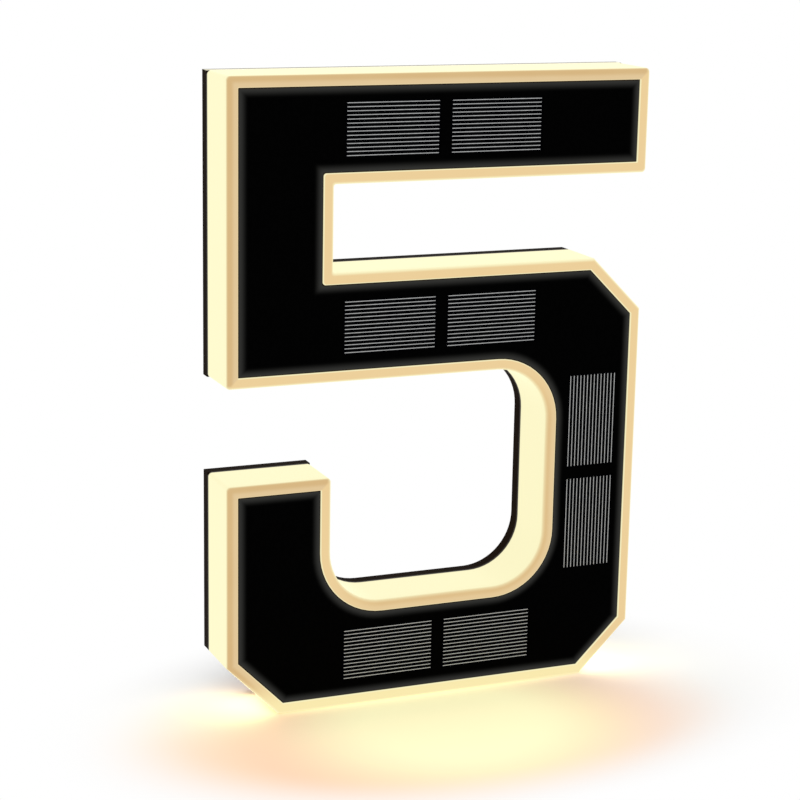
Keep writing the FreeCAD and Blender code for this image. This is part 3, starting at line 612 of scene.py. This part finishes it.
# ---------------------------------------------------------------- screws
# Zinc-plated self-tapping screws. Six are sunk in the back plate and run into the shell's posts,
# and four small ones hold the light board on its stand-offs.
zinc = Finish("plated_screw", Metallic=1.0)
worn = zinc.noise(700.0, 4.0)
zinc.feed(Base_Color=zinc.mix(worn, srgb(150, 152, 156), srgb(198, 200, 204)),
          Roughness=0.25 + 0.25 * worn)
paint(zinc, "assembly_screws", "board_screws")

# ---------------------------------------------------------------- light board, lamps and tape
# White solder mask over glass laminate in the digit's shape, with side-firing lamps, yellow with
# phosphor, soldered along its edges. Black foam tape sticks the solar panel in its pocket.
mask = Finish("white_solder_mask", Roughness=0.35)
mask.feed(Base_Color=mask.mottle((228, 230, 226), (242, 243, 240), 500.0, 3.0))
mask.bump(mask.noise(2600.0), 0.00002, 0.3)
paint(mask, "light_board")

phosphor = Finish("phosphor_lamp", Roughness=0.4, Emission_Strength=1.0)
warm = phosphor.noise(1500.0)
phosphor.feed(Base_Color=phosphor.mix(warm, srgb(250, 220, 120), srgb(255, 236, 170)),
              Emission_Color=phosphor.mix(warm, srgb(255, 214, 140), srgb(255, 226, 160)))
paint(phosphor, "side_lamps")

foam = Finish("foam_tape", Roughness=0.9)
foam.feed(Base_Color=foam.mottle((50, 50, 50), (84, 84, 84), 1200.0, 4.0))
foam.bump(foam.noise(2400.0, 4.0), 0.0001, 0.6)
paint(foam, "panel_tape")

# ---------------------------------------------------------------- battery and its contacts
# Rechargeable cell in a printed film sleeve that leaves its metal ends bare. It is held between
# two bent clips of nickel-plated spring steel.
SLEEVE_END = 0.0012
cell_low, cell_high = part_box("battery_cell")
sleeve = Finish("battery_sleeve")
height = sleeve.axis("Z")
bare = ((1 - height.ramp(cell_low.z, cell_low.z + SLEEVE_END))
        | height.ramp(cell_high.z - 2 * SLEEVE_END, cell_high.z - SLEEVE_END)) > 0.5
tint = sleeve.mottle((38, 92, 120), (52, 112, 140), 250.0)
sleeve.feed(Base_Color=sleeve.mix(bare, tint, srgb(190, 190, 188)), Metallic=bare,
            Roughness=0.3 + 0.12 * sleeve.noise(600.0))
paint(sleeve, "battery_cell")

nickel = Finish("nickel_spring", Metallic=1.0)
nickel.feed(Base_Color=nickel.mottle((184, 180, 168), (212, 208, 198), 500.0, 4.0),
            Roughness=0.22 + 0.2 * nickel.noise(1400.0))
paint(nickel, "battery_clip_plus", "battery_clip_minus")

# ---------------------------------------------------------------- charge controller and leads
# Epoxy chips, a ferrite drum wound with copper and two aluminium cans, soldered to the board.
# The panel's red lead plugs into a nylon socket, and a nylon plunger works the switch.
epoxy = Finish("chip_epoxy", Roughness=0.55)
epoxy.feed(Base_Color=epoxy.mottle((26, 26, 27), (44, 44, 45), 1600.0, 3.0))
paint(epoxy, "controller_chip", "resistors")

FLANGE_SHARE, FLANGE_EASE = 0.2, 1.1
WIRE_WAVE = 9000.0                 # radians per metre: 0.7 mm from one turn to the next
ferrite = Finish("ferrite_drum", Roughness=0.6)
drum_low, drum_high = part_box("boost_inductor")
flange = (drum_high.y - drum_low.y) * FLANGE_SHARE
along_drum = ferrite.axis("Y")
wound = along_drum.ramp(drum_low.y + flange, drum_low.y + flange * FLANGE_EASE)
wound = wound * (1 - along_drum.ramp(drum_high.y - flange * FLANGE_EASE, drum_high.y - flange))
# Painted shade and highlight: the copper is darker between the turns of wire and lighter on their
# crowns.
turn_shading = along_drum * WIRE_WAVE
turn_shading = turn_shading.math("SINE", turn_shading) * 0.5 + 0.5
shaded_copper = ferrite.mix(turn_shading, srgb(120, 62, 30), srgb(190, 110, 60))
ferrite.feed(Base_Color=ferrite.mix(wound, srgb(52, 52, 55), shaded_copper))
paint(ferrite, "boost_inductor")

can = Finish("aluminium_can", Metallic=1.0)
can.feed(Base_Color=can.mottle((176, 178, 180), (208, 209, 211), 900.0, 3.0),
         Roughness=0.28 + 0.15 * can.noise(1500.0))
paint(can, "capacitors")

nylon = Finish("white_nylon", Roughness=0.5)
nylon.feed(Base_Color=nylon.mottle((226, 222, 208), (240, 237, 226), 500.0))
paint(nylon, "lead_socket", "lead_plug", "switch_plunger")

insulation = Finish("lead_insulation", Roughness=0.45)
insulation.feed(Base_Color=insulation.mottle((150, 24, 20), (182, 34, 28), 600.0))
paint(insulation, "solar_leads")

housing = Finish("switch_nylon", Roughness=0.5)
housing.feed(Base_Color=housing.mottle((36, 36, 38), (54, 54, 56), 800.0, 3.0))
paint(housing, "switch_body")
